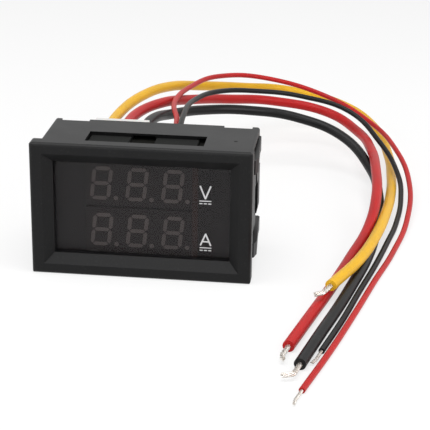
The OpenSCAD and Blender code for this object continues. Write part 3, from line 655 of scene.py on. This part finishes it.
windowSet = {"alpha": 0.36, "clearance": 0.05, "bevel": 0.08}
finishes = {}
for slot, (colour, rough, grain, cloud, shade, vary, dust, bump, plain) in plasticSet.items():
    finishes[slot] = plasticFinish(slot.split("_")[0] + slot.split("_")[1].capitalize(), colour, rough, float(grain),
                                   float(cloud), shade, vary, dust, bump,
                                   **{label.replace("_", " "): value for label, value in plain.items()})
for slot, (bright, dull, patch, rough, bump) in metalSet.items():
    finishes[slot] = metalFinish(slot.split("_")[0] + slot.split("_")[1].capitalize(), bright, dull, float(patch), rough, bump)
# the case's darker mark colour is the painted shade of the roof dimple
finishes["black_shell"] = markedFinish("blackShell", shellBase, (0.0008, 0.0008, 0.0008), 0.7, dimpleMarkAndShade,
                                       **{"Specular IOR Level": 0.2})
finishes["chip_black"] = markedFinish("chipBlack", chipBase, (0.09, 0.09, 0.09), 0.3, chipDots)
finishes["tantalum_yellow"] = markedFinish(
    "tantalumYellow", ((0.72, 0.42, 0.05), 0.42, 7000, 700, 0.07, 0.05, 0.01, 0.12), (0.1, 0.05, 0.02), 0.5,
    polarityBar)
finishes["display_housing"] = markedFinish(
    "displayHousing", ((0.016, 0.011, 0.011), 0.6, 3000, 300, 0.1, 0.05, 0.0, 0.02), (0.16, 0.045, 0.032), 0.45,
    sideWalls)
finishes["board_laminate"] = laminateFinish()
finishes["smoked_window"] = windowFinish()

slotOfNode = {name: node.material_slots[0].material.name.split(".")[0] for name, node in nodes.items()}
for name, node in nodes.items():
    for materialSlot in node.material_slots:
        materialSlot.material = finishes[slotOfNode[name]]
for name, setup in leadSet.items():
    slot = slotOfNode[setup["node"]]
    leads[name].data.materials.append(finishes[slot])
    strands[name].data.materials.append(finishes["tinned_copper"])
print("finishes given:", len(finishes))

# ---- legends on the window ----

legendSet = {
    # letter: left, right, bottom, top, solid line, dashed line
    "V": (12.4, 15.0, 3.25, 6.05, 2.7, 2.1),
    "A": (12.55, 15.1, -7.5, -4.9, -8.1, -8.7),
}
legendFront, legendThick, legendStroke, lineThick, dashShare = -0.2, 0.015, 0.34, 0.22, 0.26


def flatBar(bm, left, right, bottom, top, front, thick):
    made = bmesh.ops.create_cube(bm, size=1.0)["verts"]
    bmesh.ops.scale(bm, verts=made, vec=((right - left) * mm, thick * mm, (top - bottom) * mm))
    bmesh.ops.translate(bm, verts=made, vec=((left + right) / 2 * mm, (front - thick / 2) * mm, (bottom + top) / 2 * mm))


def strokeBar(bm, start, end, width, front, thick):
    # a straight printed stroke from one (x, z) to another
    start, end = Vector((start[0], 0, start[1])), Vector((end[0], 0, end[1]))
    along = end - start
    made = bmesh.ops.create_cube(bm, size=1.0)["verts"]
    bmesh.ops.scale(bm, verts=made, vec=((along.length + width * 0.5) * mm, thick * mm, width * mm))
    bmesh.ops.rotate(bm, verts=made, cent=(0, 0, 0), matrix=Matrix.Rotation(-math.atan2(along.z, along.x), 3, "Y"))
    middle = (start + end) / 2
    bmesh.ops.translate(bm, verts=made, vec=(middle.x * mm, (front - thick / 2) * mm, middle.z * mm))


def legendPiece(letter, left, right, bottom, top, solid, dashed):
    bm = bmesh.new()
    width, middle = legendStroke, (left + right) / 2
    foot, head = (bottom, top) if letter == "A" else (top, bottom)
    inset = width / 2
    # the two legs differ a hair in thickness so that no two faces share a plane
    strokeBar(bm, (left + inset, foot), (middle, head), width, legendFront, legendThick)
    strokeBar(bm, (right - inset, foot), (middle, head), width, legendFront, legendThick * 1.2)
    if letter == "A":
        high = bottom + (top - bottom) * 0.32
        strokeBar(bm, (left + 0.55, high), (right - 0.55, high), width * 0.9, legendFront, legendThick * 0.8)
    flatBar(bm, left, right, solid - lineThick / 2, solid + lineThick / 2, legendFront, legendThick)
    dash = (right - left) * dashShare
    gap = ((right - left) - 3 * dash) / 2
    for i in range(3):
        start = left + i * (dash + gap)
        flatBar(bm, start, start + dash, dashed - lineThick / 2, dashed + lineThick / 2, legendFront, legendThick)
    return meshPiece("legend" + letter, bm, smooth=False)


legendInk = plasticFinish("legendInk", (0.56, 0.56, 0.57), 0.5, 8000.0, 900.0, 0.06, 0.05, 0.0, 0.05)
for letter, values in legendSet.items():
    legend = legendPiece(letter, *values)
    legend.data.materials.append(legendInk)
    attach(legend, "meter")
print("legends printed")

# ---- painted shade: black film behind the window and card under the slot; and the slot pads ----

shadeFilmSet = {"left": -21.5, "right": 21.5, "bottom": -11.3, "top": 11.3,
           "openLeft": -12.75, "openRight": 10.75, "openBottom": -10.65, "openTop": 10.35, "front": 0.92, "thick": 0.08}
shadeCardSet = {"left": -14.4, "right": 13.3, "front": 1.4, "rear": 16.6, "bottom": 11.47, "thick": 0.08}
padSet = {"spans": ((-13.35, -4.35), (1.25, 10.75)), "front": 2.5, "rear": 12.2, "bottom": 11.55, "top": 12.35,
          "bevel": 0.18}


def boxPart(bm, low, high):
    made = bmesh.ops.create_cube(bm, size=1.0)["verts"]
    bmesh.ops.scale(bm, verts=made, vec=[(b - a) * mm for a, b in zip(low, high)])
    bmesh.ops.translate(bm, verts=made, vec=[(a + b) / 2 * mm for a, b in zip(low, high)])
    return made


def windowShadeFilm(setup):
    # painted shade: a black film behind the window, open in front of the two displays, standing in for the shaded
    # inside of the box round them
    bm = bmesh.new()
    corners = [(setup["left"], setup["bottom"]), (setup["right"], setup["bottom"]),
               (setup["right"], setup["top"]), (setup["left"], setup["top"])]
    inner = [(setup["openLeft"], setup["openBottom"]), (setup["openRight"], setup["openBottom"]),
             (setup["openRight"], setup["openTop"]), (setup["openLeft"], setup["openTop"])]
    outside = [bm.verts.new((x * mm, setup["front"] * mm, z * mm)) for x, z in corners]
    inside = [bm.verts.new((x * mm, setup["front"] * mm, z * mm)) for x, z in inner]
    for i in range(4):
        j = (i + 1) % 4
        bm.faces.new((outside[i], outside[j], inside[j], inside[i]))
    grown = bmesh.ops.extrude_face_region(bm, geom=bm.faces[:])["geom"]
    bmesh.ops.translate(bm, verts=[g for g in grown if isinstance(g, bmesh.types.BMVert)],
                        vec=(0, setup["thick"] * mm, 0))
    bmesh.ops.recalc_face_normals(bm, faces=bm.faces)
    return meshPiece("windowShadeFilm", bm, smooth=False)


def windowSheet(setup):
    # the smoked window, a hair thinner than its solid so that it doesn't lie in the displays' front face
    low, high = (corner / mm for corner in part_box("window"))
    bm = bmesh.new()
    boxPart(bm, low, (high.x, high.y - setup["clearance"], high.z))
    bmesh.ops.bevel(bm, geom=bm.edges[:], offset=setup["bevel"] * mm, segments=2, profile=0.5, affect="EDGES",
                    material=-1)
    return meshPiece("windowSheet", bm, smooth=False)


# a card under the slot that the pads rest on; its dead black is painted shade for the deep inside of the box
def slotShadeCard(setup):
    bm = bmesh.new()
    boxPart(bm, (setup["left"], setup["front"], setup["bottom"]),
            (setup["right"], setup["rear"], setup["bottom"] + setup["thick"]))
    bmesh.ops.bevel(bm, geom=[e for e in bm.edges if abs(e.verts[0].co.z - e.verts[1].co.z) > 1e-6],
                    offset=1.0 * mm, segments=3, profile=0.5, affect="EDGES", material=-1)
    return meshPiece("slotShadeCard", bm, smooth=False)


def slotPads(setup):
    bm = bmesh.new()
    for left, right in setup["spans"]:
        boxPart(bm, (left, setup["front"], setup["bottom"]), (right, setup["rear"], setup["top"]))
    upper = [e for e in bm.edges if all(v.co.z > (setup["top"] - 0.01) * mm for v in e.verts)]
    bmesh.ops.bevel(bm, geom=upper, offset=setup["bevel"] * mm, segments=3, profile=0.5, affect="EDGES", material=-1)
    return meshPiece("slotPads", bm, smooth=False)


# the film's black is painted shade; its band is the colour of the displays' sides
shadeFilmBlack = markedFinish("shadeFilmBlack", ((0.010, 0.009, 0.010), 0.7, 3000, 200, 0.1, 0.05, 0.0, 0.02),
                         (0.05, 0.02, 0.015), 0.7, redBand)
# painted shade: near-black with almost no sheen, for the shaded inside of the box seen through the slot
shadeCardBlack = plasticFinish("shadeCardBlack", (0.007, 0.007, 0.006), 0.9, 3000.0, 300.0, 0.2, 0.03, 0.01, 0.1,
                          **{"Specular IOR Level": 0.06})
padBlack = plasticFinish("padBlack", (0.008, 0.0085, 0.008), 0.85, 5000.0, 300.0, 0.15, 0.05, 0.012, 0.15,
                         **{"Specular IOR Level": 0.12})
for piece, finish in ((windowShadeFilm(shadeFilmSet), shadeFilmBlack), (slotShadeCard(shadeCardSet), shadeCardBlack), (slotPads(padSet), padBlack)):
    piece.data.materials.append(finish)
    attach(piece, "meter")
sheet = windowSheet(windowSet)
sheet.data.materials.append(finishes["smoked_window"])
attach(sheet, "meter")
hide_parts("window")
print("mask, window, card and pads made")

# ---- printing on the board ----

silkSet = {"around": ["controller_chip", "amplifier_chip", "regulator_chip", "volt_trimmer", "amp_trimmer",
                      "tantalum_capacitor", "protection_diode", "power_header", "supply_header"],
           "margin": 0.35, "line": 0.16, "thick": 0.02, "face": 8.6, "edge": 11.2}


def silkFrames(setup):
    # a white outline round each large component on the board's rear face
    bm = bmesh.new()
    for node in setup["around"]:
        low, high = (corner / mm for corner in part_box(node))
        left, right = low.x - setup["margin"], high.x + setup["margin"]
        bottom, top = max(low.z - setup["margin"], -setup["edge"]), min(high.z + setup["margin"], setup["edge"])
        line, face, out = setup["line"], setup["face"], setup["face"] + setup["thick"]
        boxPart(bm, (left, face, bottom), (right, out, bottom + line))
        boxPart(bm, (left, face, top - line), (right, out, top))
        boxPart(bm, (left, face, bottom + line), (left + line, out, top - line))
        boxPart(bm, (right - line, face, bottom + line), (right, out, top - line))
    return meshPiece("silkFrames", bm, smooth=False)


silkWhite = plasticFinish("silkWhite", (0.62, 0.62, 0.6), 0.6, 6000.0, 900.0, 0.1, 0.05, 0.0, 0.05)
silk = silkFrames(silkSet)
silk.data.materials.append(silkWhite)
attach(silk, "meter")
print("board printed")

bpy.context.view_layer.update()
